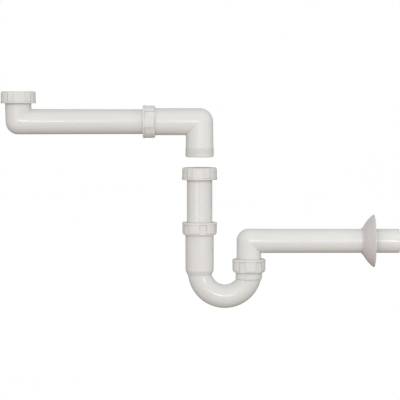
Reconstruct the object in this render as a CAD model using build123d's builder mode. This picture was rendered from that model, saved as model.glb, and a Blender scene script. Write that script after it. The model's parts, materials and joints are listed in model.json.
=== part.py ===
from build123d import *
import os

# Space-saving tubular trap for a sink: an offset inlet arm, a dip tube that telescopes into a U-bend,
# and an outlet pipe with a wall rosette, held together by union nuts and compression nuts.
# Millimetres. The origin is the centre of the outlet spigot's free end, +X runs into the wall, +Z is up,
# and every pipe axis lies in the XZ plane.

# Layout of the pipe axes
OUTLET_RUN = 250.0  # spigot end to the outlet leg
LEG_SPACING = 82.0  # outlet leg to the dip tube
ARM_REACH = 300.0  # dip tube to the inlet
BEND_DROP = 50.5  # outlet axis down to the bend's centre
UNION_LIFT = 28.4  # the arm elbow stands this far off its seat on the dip tube

# Outlet pipe
OUTLET_D = 40.0
OUTLET_WALL = 2.0
OUTLET_DRAFT = 0.2  # on the diameter, along the run
OUTLET_FLARE = 0.6  # on the diameter, towards the elbow
OUTLET_FLARE_LENGTH = 45.0  # from the elbow's corner
SPIGOT_LENGTH = 42.0  # true-size end that goes into the wall
SPIGOT_ROUND = 1.5

# U-bend
BEND_D = 39.0
BEND_WALL = 1.8
BEND_OFFSET = 2.0  # the half ring ends this far outside the outlet leg's axis
SOCKET_LENGTH = 75.0  # bend's centre up to the tall socket's rim
SOCKET_WALL = 2.2
SOCKET_DRAFT = 0.6  # on the diameter, from the thread down to the foot
SOCKET_SHOULDER = 7.6  # height of the shoulder under the tall socket
SOCKET_SHOULDER_LAP = 6.1  # part of the shoulder below the bend's centre
SOCKET_SHOULDER_PROUD = 0.4
SOCKET_SHOULDER_ROUND = 5.0
SOCKET_THREAD = 13.5
OUTLET_SOCKET_RISE = 13.5  # bend's centre up to the outlet end's rim
OUTLET_SOCKET_DEPTH = 22.0
OUTLET_END_WALL = 2.75
OUTLET_THREAD = 14.0
COLLAR_WALL = 1.2
COLLAR_DROP = 12.9  # bend's centre down to the collar's lower edge
COLLAR_ROUND = 0.8

# Dip tube
DIP_LIP = 2.6  # the flange's reach past the tube
DIP_WALL = 2.0
DIP_OUT = 84.0  # stands out of the tall socket
DIP_LENGTH = 120.0
PIPE_END_ROUND = 0.8  # at the dip tube's and the inlet arm's inserted ends

# Inlet arm
ARM_D = 41.0
ARM_WALL = 2.0
ARM_DRAFT = 1.0  # on the diameter, along the taper
ARM_TAPER = 165.0
ARM_INSERT = 45.0  # pipe inside its socket
NECK_LIP = 1.8  # the flange's reach past the neck
NECK_WALL = 2.2
NECK_RISE = 37.0  # arm axis up to the neck's flange

# Arm elbow
ELBOW_WALL = 1.5  # round the arm
ELBOW_STEP = 1.2  # stops the arm
ELBOW_STOP = 24.0  # leg axis to that step
ELBOW_SOCKET = 87.0  # leg axis to the socket's rim
ELBOW_THREAD = 13.0
ELBOW_LEG = 58.5  # arm axis down to the threaded end
UNION_END_ROUND = 2.4

# The two unions: thread, flanges and flat seals
UNION_CORE = 46.3  # thread core
UNION_WALL = 3.55  # at the threaded end
UNION_THREAD = 16.0
UNION_PROUD = 0.25  # thread core over the leg above it
FLANGE_T = 3.5
FLANGE_FIT = 0.5  # radial, inside the union nut
FLAT_SEAL_T = 2.5

# Sockets: conical seat, seal, slip ring
PIPE_FIT = 0.3  # radial, pipe in socket
SEAT_DEPTH = 5.0
RIM_LAND = 0.7
SEAL_FIT = 0.3
SEAL_TIP = 2.5  # seal's reach below the rim
SEAL_PROUD = 2.0
SLIP_RING_T = 1.5
SLIP_RING_FIT = 0.35
FACE_GAP = 0.1

# Nuts: six shallow recesses between the lands, a ring at the closed end, a bevel at the open end
THREAD_PROUD = 0.75  # thread core over the pipe beside it
THREAD_ROOM = 1.05  # radial, thread core to nut bore
NUT_SHOULDER = 3.0
NUT_RING_T = 3.2
NUT_RING_PROUD = 0.25
NUT_RING_ROUND = 1.0
NUT_LEAD_IN = 0.6
NUT_RELIEF = 0.3  # radial, chamber at the closed end over the threaded bore
GRIP_COUNT = 6
GRIP_WIDTH = 11.8
GRIP_DEPTH = 1.5  # at the middle of the flat floor
UNION_NUT_WALL = 4.9
UNION_NUT_H = 20.0
UNION_BEVEL_DEPTH = 2.4
UNION_BEVEL_LENGTH = 2.4
UNION_HOLE_ROOM = 0.6
SOCKET_NUT_WALL = 3.2
SOCKET_NUT_H = 20.5
SOCKET_HOLE_ROOM = 0.9
OUTLET_NUT_WALL = 2.9
OUTLET_NUT_H = 21.5
OUTLET_HOLE_ROOM = 1.6
ARM_NUT_WALL = 3.05
ARM_NUT_H = 20.0
ARM_HOLE_ROOM = 0.8
ARM_BEVEL_LENGTH = 1.4
BEVEL_DEPTH = 1.9
BEVEL_LENGTH = 3.4
INLET_NUT_TURN = -20.0  # where the recesses point
TRAP_NUT_TURN = -34.0
SOCKET_NUT_TURN = -12.0
OUTLET_NUT_TURN = 24.0
ARM_NUT_TURN = -28.0

# Wall rosette
ROSETTE_SETBACK = 42.0  # spigot end back to the rim
ROSETTE_DEPTH = 20.0
ROSETTE_D = 87.0
ROSETTE_NOSE = 1.6  # straight part of the nose
ROSETTE_NOSE_T = 2.8  # the nose over the pipe
ROSETTE_FIT = 0.6
ROSETTE_WALL = 2.0
ROSETTE_SAG = 1.4  # bulge of the dome over its chord
ROSETTE_LIP = 1.4
ROSETTE_HUB = 5.0
ROSETTE_NOSE_ROUND = 1.2

UP = Vector(0, 0, 1)
DOWN = -UP
WALLWARD = Vector(1, 0, 0)
ROOMWARD = -WALLWARD
ACROSS = Vector(0, 1, 0)

# Diameters worked out from the pipes, walls and clearances
UNION_BORE = UNION_CORE + 2 * THREAD_ROOM
FLANGE_D = UNION_BORE - 2 * FLANGE_FIT
DIP_D = FLANGE_D - 2 * DIP_LIP
DIP_BORE = DIP_D - 2 * DIP_WALL
NECK_D = FLANGE_D - 2 * NECK_LIP
NECK_BORE = NECK_D - 2 * NECK_WALL
ARM_BORE = ARM_D - 2 * ARM_WALL
ARM_ROOT_D = ARM_D + ARM_DRAFT
ELBOW_D = ARM_D + 2 * (PIPE_FIT + ELBOW_WALL)
ELBOW_BORE = ARM_D + 2 * (PIPE_FIT - ELBOW_STEP)
ELBOW_CORE = ELBOW_D + 2 * THREAD_PROUD
ELBOW_LEG_D = UNION_CORE - 2 * UNION_PROUD
UNION_MOUTH = UNION_CORE - 2 * UNION_WALL
SOCKET_D = DIP_D + 2 * (PIPE_FIT + SOCKET_WALL)
SOCKET_FOOT_D = SOCKET_D - SOCKET_DRAFT
SOCKET_CORE = SOCKET_D + 2 * THREAD_PROUD
OUTLET_BORE = OUTLET_D - 2 * OUTLET_WALL
OUTLET_RUN_D = OUTLET_D + OUTLET_DRAFT
OUTLET_ROOT_D = OUTLET_RUN_D + OUTLET_FLARE
OUTLET_CORE = OUTLET_ROOT_D + 2 * (PIPE_FIT + OUTLET_END_WALL)
COLLAR_D = OUTLET_ROOT_D + 2 * (PIPE_FIT + COLLAR_WALL)
BEND_BORE = BEND_D - 2 * BEND_WALL

# Places worked out from the layout
LEG_X = -OUTLET_RUN
DIP_X = LEG_X - LEG_SPACING
INLET_X = DIP_X - ARM_REACH
BEND_Z = -BEND_DROP
SOCKET_RIM = Vector(DIP_X, 0, BEND_Z + SOCKET_LENGTH)
OUTLET_RIM = Vector(LEG_X, 0, BEND_Z + OUTLET_SOCKET_RISE)
DIP_TOP = SOCKET_RIM + UP * DIP_OUT
ARM_Z = DIP_TOP.Z + FLAT_SEAL_T + UNION_LIFT + ELBOW_LEG
ELBOW_CORNER = Vector(DIP_X, 0, ARM_Z)
ARM_RIM = ELBOW_CORNER + ROOMWARD * ELBOW_SOCKET
INLET_CORNER = Vector(INLET_X, 0, ARM_Z)
INLET_TOP = INLET_CORNER + UP * NECK_RISE
OUTLET_CORNER = Vector(LEG_X, 0, 0)
ARM_LENGTH = ARM_REACH - ELBOW_SOCKET + ARM_INSERT
OUTLET_LEG = BEND_DROP - OUTLET_SOCKET_RISE + OUTLET_SOCKET_DEPTH - FACE_GAP
UNION_CHAMBER = NUT_SHOULDER + FLANGE_T + FLAT_SEAL_T + 2 * FACE_GAP
NUT_OVER_RIM = NUT_SHOULDER + SLIP_RING_T + SEAL_PROUD + 2 * FACE_GAP


def turned(start, direction, stations, mode=Mode.ADD):
    """Body of revolution along a direction; each station is a distance from the start and a diameter."""
    outline = [(stations[0][0], 0)]
    outline += [(distance, diameter / 2) for distance, diameter in stations]
    outline.append((stations[-1][0], 0))
    with BuildSketch(Plane(start, x_dir=direction, z_dir=-ACROSS)) as half:
        with BuildLine():
            Polyline(*outline, close=True)
        make_face()
    revolve(half.sketch, Axis(start, direction), mode=mode)


def rings_at(part, direction, distance):
    """Circular edges of a part on the plane at a distance from the origin, smallest first."""
    rings = part.edges().filter_by(GeomType.CIRCLE)
    on_plane = rings.filter_by(lambda ring: abs(ring.center().dot(direction) - distance) < FACE_GAP / 2)
    return on_plane.sort_by(SortBy.RADIUS)


def seat_mouth(core):
    """Diameter of a socket's mouth, leaving a flat land on the rim."""
    return core - 2 * RIM_LAND


def socket_bore(rim, outward, depth, pipe, core):
    """Bore for a pipe with a conical seat at the rim."""
    bore = pipe + 2 * PIPE_FIT
    turned(rim, outward, [(-depth, bore), (-SEAT_DEPTH, bore), (0, seat_mouth(core))], Mode.SUBTRACT)


def washer(base, direction, inner, outer, thickness):
    with BuildPart() as ring:
        with BuildSketch(Plane(base, z_dir=direction)):
            Circle(outer / 2)
            Circle(inner / 2, mode=Mode.SUBTRACT)
        extrude(amount=thickness)
    return ring


def cone_seal(rim, outward, pipe, core):
    """Wedge-shaped rubber ring: its cone lies in the socket's seat, its back stands proud of the rim."""
    bore = pipe + 2 * PIPE_FIT
    flare = (seat_mouth(core) - bore) / SEAT_DEPTH
    inner = pipe + 2 * SEAL_FIT
    back = seat_mouth(core) - 2 * SEAL_FIT
    tip = back - flare * SEAL_TIP
    with BuildPart() as seal:
        turned(rim, outward, [(-SEAL_TIP, tip), (0, back), (SEAL_PROUD, back)])
        turned(rim, outward, [(-SEAL_TIP, inner), (SEAL_PROUD, inner)], Mode.SUBTRACT)
    return seal


def slip_ring(rim, outward, pipe, core):
    bore = core + 2 * THREAD_ROOM
    base = rim + outward * (SEAL_PROUD + FACE_GAP)
    return washer(base, outward, pipe + 2 * SLIP_RING_FIT, bore - 2 * SLIP_RING_FIT, SLIP_RING_T)


def grip_nut(face, opening, wall, height, bore, chamber, hole, bevel, turn):
    """Nut with its closed end's outer face at a point, opening along a direction.

    The chamber at the closed end reaches to a distance from that face, and the threaded bore begins there.
    """
    land = bore + 2 * wall
    ring = land + 2 * NUT_RING_PROUD
    relief = bore + 2 * NUT_RELIEF
    bevel_depth, bevel_length = bevel
    with BuildPart() as nut:
        turned(
            face,
            opening,
            [
                (0, ring - 2 * NUT_RING_ROUND),
                (NUT_RING_ROUND, ring),
                (NUT_RING_T, ring),
                (NUT_RING_T, land),
                (height - bevel_length, land),
                (height, land - 2 * bevel_depth),
            ],
        )
        recess = Plane(face + opening * NUT_RING_T, x_dir=ACROSS, z_dir=opening)
        with BuildSketch(recess):
            with PolarLocations(land / 2, GRIP_COUNT, start_angle=turn):
                Rectangle(2 * GRIP_DEPTH, GRIP_WIDTH)
        extrude(amount=height - NUT_RING_T, mode=Mode.SUBTRACT)
        turned(
            face,
            opening,
            [
                (NUT_SHOULDER, relief),
                (chamber, relief),
                (chamber, bore),
                (height - NUT_LEAD_IN, bore),
                (height, bore + 2 * NUT_LEAD_IN),
            ],
            Mode.SUBTRACT,
        )
        turned(face, opening, [(0, hole), (NUT_SHOULDER, hole)], Mode.SUBTRACT)
    return nut


def union_nut(flange_top, pipe, turn):
    """Union nut whose shoulder hangs under a flange."""
    face = flange_top + DOWN * (FLANGE_T + FACE_GAP + NUT_SHOULDER)
    hole = pipe + 2 * UNION_HOLE_ROOM
    bevel = (UNION_BEVEL_DEPTH, UNION_BEVEL_LENGTH)
    return grip_nut(face, UP, UNION_NUT_WALL, UNION_NUT_H, UNION_BORE, UNION_CHAMBER, hole, bevel, turn)


def compression_nut(rim, outward, wall, height, core, hole, bevel_length, turn):
    """Nut screwed onto a socket's rim, with its closed end outwards."""
    face = rim + outward * NUT_OVER_RIM
    bore = core + 2 * THREAD_ROOM
    bevel = (BEVEL_DEPTH, bevel_length)
    return grip_nut(face, -outward, wall, height, bore, NUT_OVER_RIM, hole, bevel, turn)


# Outlet pipe: elbow with a ball corner, leg down into the bend, long run to the wall
with BuildPart() as outlet_pipe:
    turned(
        OUTLET_CORNER,
        WALLWARD,
        [
            (0, OUTLET_ROOT_D),
            (OUTLET_FLARE_LENGTH, OUTLET_RUN_D),
            (OUTLET_RUN - SPIGOT_LENGTH, OUTLET_D),
            (OUTLET_RUN, OUTLET_D),
        ],
    )
    turned(OUTLET_CORNER, DOWN, [(0, OUTLET_ROOT_D), (OUTLET_LEG, OUTLET_ROOT_D)])
    with Locations(OUTLET_CORNER):
        Sphere(OUTLET_ROOT_D / 2)
    turned(OUTLET_CORNER, WALLWARD, [(0, OUTLET_BORE), (OUTLET_RUN, OUTLET_BORE)], Mode.SUBTRACT)
    turned(OUTLET_CORNER, DOWN, [(0, OUTLET_BORE), (OUTLET_LEG, OUTLET_BORE)], Mode.SUBTRACT)
    with Locations(OUTLET_CORNER):
        Sphere(OUTLET_BORE / 2, mode=Mode.SUBTRACT)
    fillet(rings_at(outlet_pipe, WALLWARD, 0)[-1], SPIGOT_ROUND)

# U-bend: tall socket, half ring and threaded outlet end with a collar
with BuildPart() as trap_bend:
    socket_foot = Vector(DIP_X, 0, BEND_Z)
    outlet_foot = Vector(LEG_X, 0, BEND_Z)
    bend_end = outlet_foot + WALLWARD * BEND_OFFSET
    bend_axis = Axis((socket_foot + bend_end) / 2, ACROSS)
    turned(
        socket_foot,
        UP,
        [
            (-SOCKET_SHOULDER_LAP, BEND_D + 2 * SOCKET_SHOULDER_PROUD),
            (SOCKET_SHOULDER - SOCKET_SHOULDER_LAP, SOCKET_FOOT_D),
            (SOCKET_LENGTH - SOCKET_THREAD, SOCKET_D),
            (SOCKET_LENGTH - SOCKET_THREAD, SOCKET_CORE),
            (SOCKET_LENGTH, SOCKET_CORE),
        ],
    )
    shoulder_edge = rings_at(trap_bend, UP, BEND_Z + SOCKET_SHOULDER - SOCKET_SHOULDER_LAP)[-1]
    fillet(shoulder_edge, SOCKET_SHOULDER_ROUND)
    turned(
        outlet_foot,
        UP,
        [
            (-COLLAR_DROP, COLLAR_D - 2 * COLLAR_ROUND),
            (COLLAR_ROUND - COLLAR_DROP, COLLAR_D),
            (OUTLET_SOCKET_RISE - OUTLET_THREAD, COLLAR_D),
            (OUTLET_SOCKET_RISE - OUTLET_THREAD, OUTLET_CORE),
            (OUTLET_SOCKET_RISE, OUTLET_CORE),
        ],
    )
    with BuildSketch(Plane(bend_end, z_dir=UP)):
        Circle(BEND_D / 2)
    revolve(axis=bend_axis, revolution_arc=180)
    with BuildSketch(Plane(bend_end, z_dir=UP)):
        Circle(BEND_BORE / 2)
    revolve(axis=bend_axis, revolution_arc=180, mode=Mode.SUBTRACT)
    socket_bore(SOCKET_RIM, UP, SOCKET_LENGTH, DIP_D, SOCKET_CORE)
    socket_bore(OUTLET_RIM, UP, OUTLET_SOCKET_DEPTH, OUTLET_ROOT_D, OUTLET_CORE)

# Dip tube with the flange that carries the union
with BuildPart() as dip_tube:
    turned(
        DIP_TOP,
        DOWN,
        [(0, FLANGE_D), (FLANGE_T, FLANGE_D), (FLANGE_T, DIP_D), (DIP_LENGTH, DIP_D)],
    )
    turned(DIP_TOP, DOWN, [(0, DIP_BORE), (DIP_LENGTH, DIP_BORE)], Mode.SUBTRACT)
    fillet(rings_at(dip_tube, UP, DIP_TOP.Z - DIP_LENGTH)[-1], PIPE_END_ROUND)

# Arm elbow: socket for the arm, ball corner, leg with a threaded end
with BuildPart() as arm_elbow:
    turned(
        ELBOW_CORNER,
        ROOMWARD,
        [
            (0, ELBOW_D),
            (ELBOW_SOCKET - ELBOW_THREAD, ELBOW_D),
            (ELBOW_SOCKET - ELBOW_THREAD, ELBOW_CORE),
            (ELBOW_SOCKET, ELBOW_CORE),
        ],
    )
    turned(
        ELBOW_CORNER,
        DOWN,
        [
            (0, ELBOW_D),
            (ELBOW_LEG - UNION_THREAD, ELBOW_LEG_D),
            (ELBOW_LEG - UNION_THREAD, UNION_CORE),
            (ELBOW_LEG, UNION_CORE),
        ],
    )
    with Locations(ELBOW_CORNER):
        Sphere(ELBOW_D / 2)
    turned(ELBOW_CORNER, DOWN, [(0, ELBOW_BORE), (ELBOW_LEG, UNION_MOUTH)], Mode.SUBTRACT)
    turned(ELBOW_CORNER, ROOMWARD, [(0, ELBOW_BORE), (ELBOW_STOP, ELBOW_BORE)], Mode.SUBTRACT)
    with Locations(ELBOW_CORNER):
        Sphere(ELBOW_BORE / 2, mode=Mode.SUBTRACT)
    socket_bore(ARM_RIM, ROOMWARD, ELBOW_SOCKET - ELBOW_STOP, ARM_D, ELBOW_CORE)
    fillet(rings_at(arm_elbow, UP, ARM_Z - ELBOW_LEG)[-1], UNION_END_ROUND)

# Inlet arm: flanged neck, ball corner, long pipe
with BuildPart() as inlet_arm:
    turned(INLET_CORNER, WALLWARD, [(0, ARM_ROOT_D), (ARM_TAPER, ARM_D), (ARM_LENGTH, ARM_D)])
    turned(
        INLET_CORNER,
        UP,
        [
            (0, ARM_ROOT_D),
            (NECK_RISE - FLANGE_T, NECK_D),
            (NECK_RISE - FLANGE_T, FLANGE_D),
            (NECK_RISE, FLANGE_D),
        ],
    )
    with Locations(INLET_CORNER):
        Sphere(ARM_ROOT_D / 2)
    turned(INLET_CORNER, WALLWARD, [(0, ARM_BORE), (ARM_LENGTH, ARM_BORE)], Mode.SUBTRACT)
    turned(INLET_CORNER, UP, [(0, ARM_BORE), (NECK_RISE, NECK_BORE)], Mode.SUBTRACT)
    with Locations(INLET_CORNER):
        Sphere(ARM_BORE / 2, mode=Mode.SUBTRACT)
    fillet(rings_at(inlet_arm, WALLWARD, INLET_X + ARM_LENGTH)[-1], PIPE_END_ROUND)

# Wall rosette: domed shell on a short hub, open towards the wall
with BuildPart() as wall_rosette:
    rosette_nose = Vector(-ROSETTE_SETBACK - ROSETTE_DEPTH, 0, 0)
    hub_r = OUTLET_D / 2 + ROSETTE_FIT
    nose_r = OUTLET_D / 2 + ROSETTE_NOSE_T
    rim_r = ROSETTE_D / 2
    with BuildSketch(Plane(rosette_nose, x_dir=WALLWARD, z_dir=-ACROSS)):
        with BuildLine():
            Polyline((ROSETTE_HUB, hub_r), (0, hub_r), (0, nose_r), (ROSETTE_NOSE, nose_r))
            SagittaArc((ROSETTE_NOSE, nose_r), (ROSETTE_DEPTH - ROSETTE_LIP, rim_r), ROSETTE_SAG)
            Polyline(
                (ROSETTE_DEPTH - ROSETTE_LIP, rim_r),
                (ROSETTE_DEPTH, rim_r),
                (ROSETTE_DEPTH, rim_r - ROSETTE_WALL),
            )
            SagittaArc(
                (ROSETTE_DEPTH, rim_r - ROSETTE_WALL),
                (ROSETTE_NOSE + ROSETTE_WALL, nose_r),
                -ROSETTE_SAG,
            )
            Polyline(
                (ROSETTE_NOSE + ROSETTE_WALL, nose_r),
                (ROSETTE_HUB, hub_r + ROSETTE_WALL),
                (ROSETTE_HUB, hub_r),
            )
        make_face()
    revolve(axis=Axis(rosette_nose, WALLWARD))
    fillet(rings_at(wall_rosette, WALLWARD, rosette_nose.X)[-1], ROSETTE_NOSE_ROUND)

# Seals and slip rings
inlet_flat_seal = washer(INLET_TOP, UP, NECK_BORE, FLANGE_D, FLAT_SEAL_T)
trap_flat_seal = washer(DIP_TOP, UP, DIP_BORE, FLANGE_D, FLAT_SEAL_T)
arm_seal = cone_seal(ARM_RIM, ROOMWARD, ARM_D, ELBOW_CORE)
dip_seal = cone_seal(SOCKET_RIM, UP, DIP_D, SOCKET_CORE)
outlet_seal = cone_seal(OUTLET_RIM, UP, OUTLET_ROOT_D, OUTLET_CORE)
arm_slip_ring = slip_ring(ARM_RIM, ROOMWARD, ARM_D, ELBOW_CORE)
socket_slip_ring = slip_ring(SOCKET_RIM, UP, DIP_D, SOCKET_CORE)
outlet_slip_ring = slip_ring(OUTLET_RIM, UP, OUTLET_ROOT_D, OUTLET_CORE)

# Nuts
inlet_union_nut = union_nut(INLET_TOP, NECK_D, INLET_NUT_TURN)
trap_union_nut = union_nut(DIP_TOP, DIP_D, TRAP_NUT_TURN)
socket_nut = compression_nut(
    SOCKET_RIM,
    UP,
    SOCKET_NUT_WALL,
    SOCKET_NUT_H,
    SOCKET_CORE,
    DIP_D + 2 * SOCKET_HOLE_ROOM,
    BEVEL_LENGTH,
    SOCKET_NUT_TURN,
)
outlet_nut = compression_nut(
    OUTLET_RIM,
    UP,
    OUTLET_NUT_WALL,
    OUTLET_NUT_H,
    OUTLET_CORE,
    OUTLET_ROOT_D + 2 * OUTLET_HOLE_ROOM,
    BEVEL_LENGTH,
    OUTLET_NUT_TURN,
)
arm_nut = compression_nut(
    ARM_RIM,
    ROOMWARD,
    ARM_NUT_WALL,
    ARM_NUT_H,
    ELBOW_CORE,
    ARM_D + 2 * ARM_HOLE_ROOM,
    ARM_BEVEL_LENGTH,
    ARM_NUT_TURN,
)

os.makedirs("parts", exist_ok=True)
for name, piece in {
    "inlet_union_nut": inlet_union_nut,
    "inlet_flat_seal": inlet_flat_seal,
    "inlet_arm": inlet_arm,
    "arm_nut": arm_nut,
    "arm_slip_ring": arm_slip_ring,
    "arm_seal": arm_seal,
    "arm_elbow": arm_elbow,
    "trap_union_nut": trap_union_nut,
    "trap_flat_seal": trap_flat_seal,
    "dip_tube": dip_tube,
    "socket_nut": socket_nut,
    "socket_slip_ring": socket_slip_ring,
    "dip_seal": dip_seal,
    "trap_bend": trap_bend,
    "outlet_nut": outlet_nut,
    "outlet_slip_ring": outlet_slip_ring,
    "outlet_seal": outlet_seal,
    "outlet_pipe": outlet_pipe,
    "wall_rosette": wall_rosette,
}.items():
    piece.part.label = name
    export_step(piece.part, f"parts/{name}.step")
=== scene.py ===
import json
import math

import bpy
from mathutils import Matrix, Vector


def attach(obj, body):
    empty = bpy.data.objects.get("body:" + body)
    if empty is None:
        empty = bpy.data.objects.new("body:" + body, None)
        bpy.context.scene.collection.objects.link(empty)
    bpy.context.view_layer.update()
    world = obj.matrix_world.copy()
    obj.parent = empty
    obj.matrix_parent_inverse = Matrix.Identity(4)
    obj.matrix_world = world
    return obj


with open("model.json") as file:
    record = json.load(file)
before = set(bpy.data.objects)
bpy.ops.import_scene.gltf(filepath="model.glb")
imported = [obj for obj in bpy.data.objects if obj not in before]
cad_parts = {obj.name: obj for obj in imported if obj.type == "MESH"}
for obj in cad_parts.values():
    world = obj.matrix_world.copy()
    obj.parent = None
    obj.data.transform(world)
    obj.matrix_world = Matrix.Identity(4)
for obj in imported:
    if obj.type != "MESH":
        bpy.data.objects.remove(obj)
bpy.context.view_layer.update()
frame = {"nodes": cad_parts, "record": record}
MM = 0.001

# Shared places, the same as in the part's source (metres)
LEG_X = -0.250
DIP_X = -0.332
INLET_X = -0.632
ARM_Z = 0.1979
BEND_CENTRE = Vector((-0.290, 0.0, -0.0505))
BEND_R = 0.042
BEND_TUBE_R = 0.0195
SEAT_DROP = 28.3 * MM  # arm elbow down to its seat
UP = Vector((0.0, 0.0, 1.0))
ROOMWARD = Vector((-1.0, 0.0, 0.0))
DIP_LINE = Vector((DIP_X, 0.0, 0.0))
LEG_LINE = Vector((LEG_X, 0.0, 0.0))
INLET_LINE = Vector((INLET_X, 0.0, 0.0))
ARM_LINE = Vector((0.0, 0.0, ARM_Z))

# Materials
NOISE_LOW, NOISE_HIGH = 0.3, 0.7  # the span that most of a noise stays in
CLOUD_DETAIL, PATCH_DETAIL, GRAIN_DETAIL = 3.0, 4.0, 2.0
PATCHES_PER_CLOUD = 3.0  # gloss changes faster than colour
GRAIN_STRENGTH = 0.35
# Painted shade: an occlusion mask darkens the colour in corners, seams and recesses, standing in for the
# shade there
PAINTED_SHADE_REACH = 1.2 * MM
PAINTED_SHADE_SAMPLES = 16
PAINTED_SHADE_COLOUR = (0.10, 0.085, 0.075, 1.0)
OPEN_SHARE, SHUT_SHARE = 0.95, 0.35  # free space at which the shade begins, and at which it is full
SHEER_TINT = (1.0, 0.86, 0.74)
SHEER_DEPTH = 4.0 * MM


def ramp_between(nodes, links, source, low, high, first, last):
    """Colour ramp from one colour to another as the source goes from low to high."""
    ramp = nodes.new("ShaderNodeValToRGB")
    ramp.color_ramp.elements[0].position = low
    ramp.color_ramp.elements[1].position = high
    ramp.color_ramp.elements[0].color = (*first, 1.0)
    ramp.color_ramp.elements[1].color = (*last, 1.0)
    links.new(source, ramp.inputs["Fac"])
    return ramp.outputs["Color"]


def level(nodes, links, source, low, high, first, last, smooth=False):
    """Number that goes from first to last as the source goes from low to high."""
    ramp = nodes.new("ShaderNodeMapRange")
    if smooth:
        ramp.interpolation_type = "SMOOTHSTEP"
    for socket, value in (("From Min", low), ("From Max", high), ("To Min", first), ("To Max", last)):
        ramp.inputs[socket].default_value = value
    links.new(source, ramp.inputs["Value"])
    return ramp.outputs["Result"]


def noise(nodes, links, place, scale, detail):
    """Noise in the object's own frame, in features per metre."""
    texture = nodes.new("ShaderNodeTexNoise")
    texture.inputs["Scale"].default_value = scale
    texture.inputs["Detail"].default_value = detail
    links.new(place, texture.inputs["Vector"])
    return texture.outputs["Fac"]


def shaded(nodes, links, colour, painted_shade_share):
    """Colour with painted shade: it goes darker in corners and seams, by up to the share given."""
    corner = nodes.new("ShaderNodeAmbientOcclusion")
    corner.samples = PAINTED_SHADE_SAMPLES
    corner.inputs["Distance"].default_value = PAINTED_SHADE_REACH
    mix = nodes.new("ShaderNodeMix")
    mix.data_type = "RGBA"
    mix.inputs["B"].default_value = PAINTED_SHADE_COLOUR
    depth = level(nodes, links, corner.outputs["AO"], SHUT_SHARE, OPEN_SHARE, painted_shade_share, 0.0)
    links.new(depth, mix.inputs["Factor"])
    links.new(colour, mix.inputs["A"])
    return mix.outputs["Result"]


def surface(name, colours, roughness, cloud, grain, grain_depth, specular, sheer=0.0, painted_shade_share=0.0):
    """Moulded surface: soft colour clouds, uneven gloss, a fine grain and painted shade in crevices.

    cloud and grain are in features per metre, grain_depth in metres; sheer is the share of light that
    goes into the plastic and comes out beside; the last argument is the share of painted shade in a corner.
    """
    material = bpy.data.materials.new(name)
    material.use_nodes = True
    nodes, links = material.node_tree.nodes, material.node_tree.links
    shader = nodes["Principled BSDF"]
    place = nodes.new("ShaderNodeTexCoord").outputs["Object"]
    clouds = noise(nodes, links, place, cloud, CLOUD_DETAIL)
    colour = ramp_between(nodes, links, clouds, NOISE_LOW, NOISE_HIGH, *colours)
    if painted_shade_share:
        colour = shaded(nodes, links, colour, painted_shade_share)
    links.new(colour, shader.inputs["Base Color"])
    patches = noise(nodes, links, place, cloud * PATCHES_PER_CLOUD, PATCH_DETAIL)
    gloss = level(nodes, links, patches, NOISE_LOW, NOISE_HIGH, *roughness)
    links.new(gloss, shader.inputs["Roughness"])
    bump = nodes.new("ShaderNodeBump")
    bump.inputs["Strength"].default_value = GRAIN_STRENGTH
    bump.inputs["Distance"].default_value = grain_depth
    links.new(noise(nodes, links, place, grain, GRAIN_DETAIL), bump.inputs["Height"])
    links.new(bump.outputs["Normal"], shader.inputs["Normal"])
    shader.inputs["Specular IOR Level"].default_value = specular
    if sheer:
        shader.inputs["Subsurface Weight"].default_value = sheer
        shader.inputs["Subsurface Radius"].default_value = SHEER_TINT
        shader.inputs["Subsurface Scale"].default_value = SHEER_DEPTH
    return material


# Pipe and nut plastics get painted shade in corners and seams; on the nuts it paints dark lines at the grip
# recesses' edges
MATERIALS = {
    "pipe_plastic": surface(
        "pipe_plastic",
        colours=((0.764, 0.762, 0.740), (0.786, 0.784, 0.763)),
        roughness=(0.15, 0.20),
        cloud=24.0,
        grain=420.0,
        grain_depth=0.006 * MM,
        specular=0.5,
        sheer=0.12,
        painted_shade_share=0.2,
    ),
    "nut_plastic": surface(
        "nut_plastic",
        colours=((0.768, 0.766, 0.744), (0.792, 0.790, 0.768)),
        roughness=(0.22, 0.32),
        cloud=42.0,
        grain=1200.0,
        grain_depth=0.06 * MM,
        specular=0.45,
        sheer=0.10,
        painted_shade_share=0.7,
    ),
    "rosette_plastic": surface(
        "rosette_plastic",
        colours=((0.690, 0.657, 0.642), (0.715, 0.682, 0.668)),
        roughness=(0.44, 0.56),
        cloud=36.0,
        grain=1000.0,
        grain_depth=0.14 * MM,
        specular=0.35,
        sheer=0.06,
    ),
    "seal_rubber": surface(
        "seal_rubber",
        colours=((0.012, 0.012, 0.013), (0.026, 0.026, 0.027)),
        roughness=(0.62, 0.80),
        cloud=60.0,
        grain=1600.0,
        grain_depth=0.20 * MM,
        specular=0.30,
    ),
}
for entry in frame["record"]["subparts"]:
    node = frame["nodes"][entry["node"]]
    node.data.materials.clear()
    node.data.materials.append(MATERIALS[entry["material_slot"]])


# Pieces added to the solids
def added(name, points, faces, material):
    """Smooth mesh object in the scene."""
    mesh = bpy.data.meshes.new(name)
    mesh.from_pydata(points, [], faces)
    mesh.materials.append(material)
    for face in mesh.polygons:
        face.use_smooth = True
    piece = bpy.data.objects.new(name, mesh)
    bpy.context.scene.collection.objects.link(piece)
    return piece


def skin(rings, spokes):
    """Faces between rings of points that follow each other."""
    faces = []
    for ring in range(rings - 1):
        for spoke in range(spokes):
            here, there = ring * spokes + spoke, ring * spokes + (spoke + 1) % spokes
            faces.append((here, there, there + spokes, here + spokes))
    return faces


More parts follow.
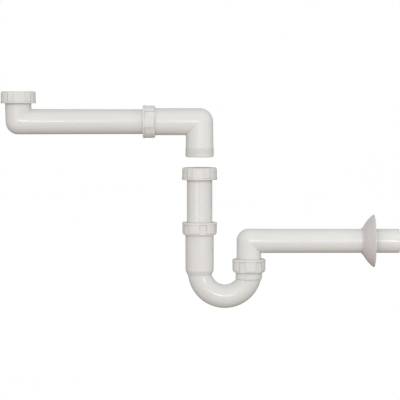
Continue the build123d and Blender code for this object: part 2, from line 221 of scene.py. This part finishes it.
# Threads: right-hand ridges over a core, or inside a nut's bore
PITCH = 2.309 * MM
HALF = PITCH / 2.0  # sets a nut's ridges between those of its mate
RIDGE = 0.75 * MM  # height
RIDGE_FOOT = 0.58 * MM  # half width at the root
RIDGE_CREST = 0.16 * MM  # half width at the crest
RIDGE_SINK = 0.04 * MM  # depth of the root in the core
RIDGE_CORNERS = 4
SHARP_EDGE = math.radians(32.0)
STEPS = 56  # sections in a turn
RUN_OUT = STEPS // 3


def thread(name, body, slot, foot, along, start, end, radius, rise, offset):
    """Helical ridge round an axis; rise is outward, or inward where it is negative."""
    side = along.orthogonal().normalized()
    across = along.cross(side)
    first = math.ceil((start + RIDGE_FOOT - offset) / PITCH * STEPS)
    last = math.floor((end - RIDGE_FOOT - offset) / PITCH * STEPS)
    root = radius - math.copysign(RIDGE_SINK, rise)
    points = []
    for step in range(first, last + 1):
        angle = 2.0 * math.pi * step / STEPS
        distance = offset + PITCH * step / STEPS
        outward = side * math.cos(angle) + across * math.sin(angle)
        grown = min(1.0, (step - first) / RUN_OUT, (last - step) / RUN_OUT)
        crest = radius + rise * grown
        section = ((-RIDGE_FOOT, root), (-RIDGE_CREST, crest), (RIDGE_CREST, crest), (RIDGE_FOOT, root))
        for shift, reach in section:
            points.append(foot + along * (distance + shift) + outward * reach)
    faces = skin(last - first + 1, RIDGE_CORNERS)
    faces.append(tuple(reversed(range(RIDGE_CORNERS))))
    faces.append(tuple(range(len(points) - RIDGE_CORNERS, len(points))))
    if rise < 0:
        faces = [tuple(reversed(face)) for face in faces]
    ridge = added(name, points, faces, MATERIALS[slot])
    ridge.data.set_sharp_from_angle(angle=SHARP_EDGE)
    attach(ridge, body)


# Start, end and core radius in millimetres; the way is out (1) or in (-1)
for name, body, slot, foot, along, start, end, radius, way, offset in (
    ("union_thread", "arm_elbow", "pipe_plastic", DIP_LINE, UP, 141.8, 154.9, 23.15, 1, SEAT_DROP + HALF),
    ("trap_union_nut_thread", "trap_union_nut", "nut_plastic", DIP_LINE, UP, 111.4, 121.1, 24.2, -1, 0.0),
    ("inlet_union_nut_thread", "inlet_union_nut", "nut_plastic", INLET_LINE, UP, 237.8, 247.5, 24.2, -1, 0.0),
    ("tall_socket_thread", "trap_bend", "pipe_plastic", DIP_LINE, UP, 11.4, 23.9, 24.35, 1, 0.0),
    ("socket_nut_thread", "socket_nut", "nut_plastic", DIP_LINE, UP, 11.5, 24.2, 25.4, -1, HALF),
    ("outlet_end_thread", "trap_bend", "pipe_plastic", LEG_LINE, UP, -50.6, -37.6, 23.45, 1, 0.0),
    ("outlet_nut_thread", "outlet_nut", "nut_plastic", LEG_LINE, UP, -51.0, -37.3, 24.5, -1, HALF),
    ("arm_socket_thread", "arm_elbow", "pipe_plastic", ARM_LINE, ROOMWARD, 406.4, 418.4, 23.05, 1, 0.0),
    ("arm_nut_thread", "arm_nut", "nut_plastic", ARM_LINE, ROOMWARD, 406.5, 418.7, 24.1, -1, HALF),
):
    thread(name, body, slot, foot, along, start * MM, end * MM, radius * MM, way * RIDGE, offset)

# Gate mark: a low round stud on the bend's front, with a dimple in its top
STUD_SPOKES = 32
STUD_PROFILE = (  # radius and height over the bend, in millimetres
    (1.35, -0.12),
    (1.30, 0.10),
    (1.12, 0.26),
    (0.85, 0.30),
    (0.62, 0.18),
    (0.30, 0.14),
)


def gate_mark(across, down):
    """Stud at a distance beside and below the bend's centre, on the side towards the camera."""
    radius = math.hypot(across, down)
    outside = (radius - BEND_R) / BEND_TUBE_R
    facing = math.sqrt(1.0 - outside * outside)
    out = Vector((across / radius * outside, -facing, -down / radius * outside))
    foot = BEND_CENTRE + Vector((across, 0.0, -down)) * (BEND_R / radius) + out * BEND_TUBE_R
    side = out.orthogonal().normalized()
    turn = out.cross(side)
    points = []
    for reach, height in STUD_PROFILE:
        for spoke in range(STUD_SPOKES):
            angle = 2.0 * math.pi * spoke / STUD_SPOKES
            around = side * math.cos(angle) + turn * math.sin(angle)
            points.append(foot + around * (reach * MM) + out * (height * MM))
    faces = skin(len(STUD_PROFILE), STUD_SPOKES)
    faces.append(tuple(range(len(points) - STUD_SPOKES, len(points))))
    faces.append(tuple(reversed(range(STUD_SPOKES))))
    stud = added("gate_mark", points, faces, MATERIALS["pipe_plastic"])
    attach(stud, "trap_bend")


gate_mark(across=-0.0354, down=0.0320)

# Backdrop and floor: a round white cove that lights nothing and shades nothing
COVE_FLOOR = -0.16
COVE_FLAT = 4.6  # radius of the flat floor
COVE_BEND = 0.9
COVE_TOP = 6.0
COVE_HUB = 0.01
COVE_SPOKES = 64
COVE_STEPS = 12
COVE_GLOW = 0.99


def cove():
    outline = [(COVE_HUB, COVE_FLOOR)]
    for step in range(COVE_STEPS + 1):
        angle = math.pi / 2 * step / COVE_STEPS
        reach = COVE_FLAT + COVE_BEND * math.sin(angle)
        outline.append((reach, COVE_FLOOR + COVE_BEND - COVE_BEND * math.cos(angle)))
    outline.append((COVE_FLAT + COVE_BEND, COVE_TOP))
    points = []
    for reach, rise in outline:
        for spoke in range(COVE_SPOKES):
            angle = 2.0 * math.pi * spoke / COVE_SPOKES
            points.append((DIP_X + reach * math.cos(angle), reach * math.sin(angle), rise))
    faces = skin(len(outline), COVE_SPOKES)
    faces.append(tuple(range(COVE_SPOKES)))
    paper = surface(
        "paper",
        colours=((0.010, 0.010, 0.010), (0.020, 0.020, 0.020)),
        roughness=(0.85, 0.95),
        cloud=3.0,
        grain=300.0,
        grain_depth=0.2 * MM,
        specular=0.0,
    )
    shader = paper.node_tree.nodes["Principled BSDF"]
    shader.inputs["Emission Color"].default_value = (1.0, 1.0, 1.0, 1.0)
    shader.inputs["Emission Strength"].default_value = COVE_GLOW
    backdrop = added("cove", points, faces, paper)
    backdrop.visible_diffuse = False
    backdrop.visible_glossy = False
    backdrop.visible_shadow = False


cove()

# Camera: 400 x 400 px, 1.66 mm a pixel at the pipes' plane
PIXEL = 1.66 * MM
IMAGE = 400
PIPE_END_U, OUTLET_V = 399.6, 240.99  # where the frame's origin lies in the picture
TARGET = Vector(((IMAGE / 2 - PIPE_END_U) * PIXEL, 0.0, (OUTLET_V - IMAGE / 2) * PIXEL))
DISTANCE = 2.74
ELEVATION = math.radians(3.5)
SENSOR = 36.0


def aimed(place, target):
    return Matrix.Translation(place) @ (target - place).to_track_quat("-Z", "Y").to_matrix().to_4x4()


camera = bpy.data.objects.new("camera", bpy.data.cameras.new("camera"))
camera.data.sensor_width = SENSOR
camera.data.lens = SENSOR * DISTANCE / (IMAGE * PIXEL)
place = TARGET + DISTANCE * Vector((0.0, -math.cos(ELEVATION), math.sin(ELEVATION)))
camera.matrix_world = aimed(place, TARGET)
bpy.context.scene.collection.objects.link(camera)
bpy.context.scene.camera = camera

# Lights
GLINT_Y = -2.60  # the glints stand in one plane, close to the camera


def area_light(name, offset, width, height, watts, lean=0.0):
    """Area light aimed at the middle of the picture."""
    light = bpy.data.lights.new(name, "AREA")
    light.shape = "RECTANGLE"
    light.size, light.size_y = width, height
    light.energy = watts
    box = bpy.data.objects.new(name, light)
    box.matrix_world = aimed(TARGET + Vector(offset), TARGET) @ Matrix.Rotation(lean, 4, "Z")
    bpy.context.scene.collection.objects.link(box)
    return box


def soft_box(name, offset, width, height, watts):
    """Light that leaves no highlight."""
    box = area_light(name, offset, width, height, watts)
    box.visible_glossy = False
    return box


def reach_only(box, *pieces):
    """Keep a light off everything but the pieces given."""
    lit = bpy.data.collections.new(box.name)
    for piece in pieces:
        lit.objects.link(piece)
    box.light_linking.receiver_collection = lit


def glint(name, node, across, above, width, height, watts, lean=0.0):
    """Light that shows only as a highlight on one piece."""
    box = area_light(name, (across, GLINT_Y, above), width, height, watts, math.radians(lean))
    box.visible_diffuse = False
    reach_only(box, frame["nodes"][node])


soft_box("key", (-0.30, -2.3, 0.9), 1.0, 0.7, 14.0)
soft_box("rear", (0.2, 1.7, 1.4), 1.4, 1.0, 11.0)
soft_box("back", (0.0, 2.4, 0.2), 1.2, 0.8, 9.0)
soft_box("side", (1.6, -0.7, 0.35), 0.8, 0.8, 2.4)
spigot_fill = soft_box("spigot_fill", (0.55, -0.35, 0.1), 0.2, 0.2, 0.17)
reach_only(spigot_fill, frame["nodes"]["outlet_pipe"])
elbow_fill = soft_box("elbow_fill", (0.45, -0.30, 0.08), 0.2, 0.2, 0.14)
reach_only(elbow_fill, frame["nodes"]["arm_elbow"], bpy.data.objects["union_thread"])
glint("arm_strip", "inlet_arm", -0.87, 0.31, 1.0, 0.13, 11.5)
glint("elbow_glint", "arm_elbow", 0.015, 0.29, 0.06, 0.16, 2.4)
glint("corner_glint", "outlet_pipe", 0.130, 0.132, 0.08, 0.14, 3.6)
glint("spigot_glint", "outlet_pipe", 0.640, 0.107, 0.24, 0.16, 3.5)
glint("left_column", "dip_tube", -1.32, -0.165, 0.90, 0.24, 3.0)
glint("right_column", "dip_tube", 0.84, -0.165, 0.90, 0.24, 1.2)
glint("bend_strip", "trap_bend", 0.135, 0.22, 0.64, 0.11, 7.0, lean=-9.0)
glint("bend_column", "trap_bend", 1.35, 0.05, 0.14, 0.30, 6.5)

# World: directions run from the front (Y -1) to the back and from below (Z -1) to above
FRONT_TO_BACK = (-1.0, 0.6)
LOW_TO_HIGH = (-0.9, 0.25)
TINT_SPAN = (0.2, 0.6)
FRONT_GLOW, BACK_GLOW = 0.895, 0.32
LOW_SHARE = 0.66  # light from below, against light from above
LOW_TINT, HIGH_TINT = (1.0, 0.89, 0.83), (1.0, 1.0, 1.0)


def studio():
    """Light tent: pale all round, brighter towards the front and darker and warmer from below."""
    world = bpy.data.worlds.new("studio")
    bpy.context.scene.world = world
    world.use_nodes = True
    nodes, links = world.node_tree.nodes, world.node_tree.links
    split = nodes.new("ShaderNodeSeparateXYZ")
    links.new(nodes.new("ShaderNodeTexCoord").outputs["Generated"], split.inputs["Vector"])
    product = nodes.new("ShaderNodeMath")
    product.operation = "MULTIPLY"
    depth = level(nodes, links, split.outputs["Y"], *FRONT_TO_BACK, FRONT_GLOW, BACK_GLOW, smooth=True)
    height = level(nodes, links, split.outputs["Z"], *LOW_TO_HIGH, LOW_SHARE, 1.0, smooth=True)
    links.new(depth, product.inputs[0])
    links.new(height, product.inputs[1])
    links.new(product.outputs["Value"], nodes["Background"].inputs["Strength"])
    rise = level(nodes, links, split.outputs["Z"], -1.0, 1.0, 0.0, 1.0)
    tint = ramp_between(nodes, links, rise, *TINT_SPAN, LOW_TINT, HIGH_TINT)
    links.new(tint, nodes["Background"].inputs["Color"])


studio()
bpy.context.scene.view_settings.view_transform = "Standard"
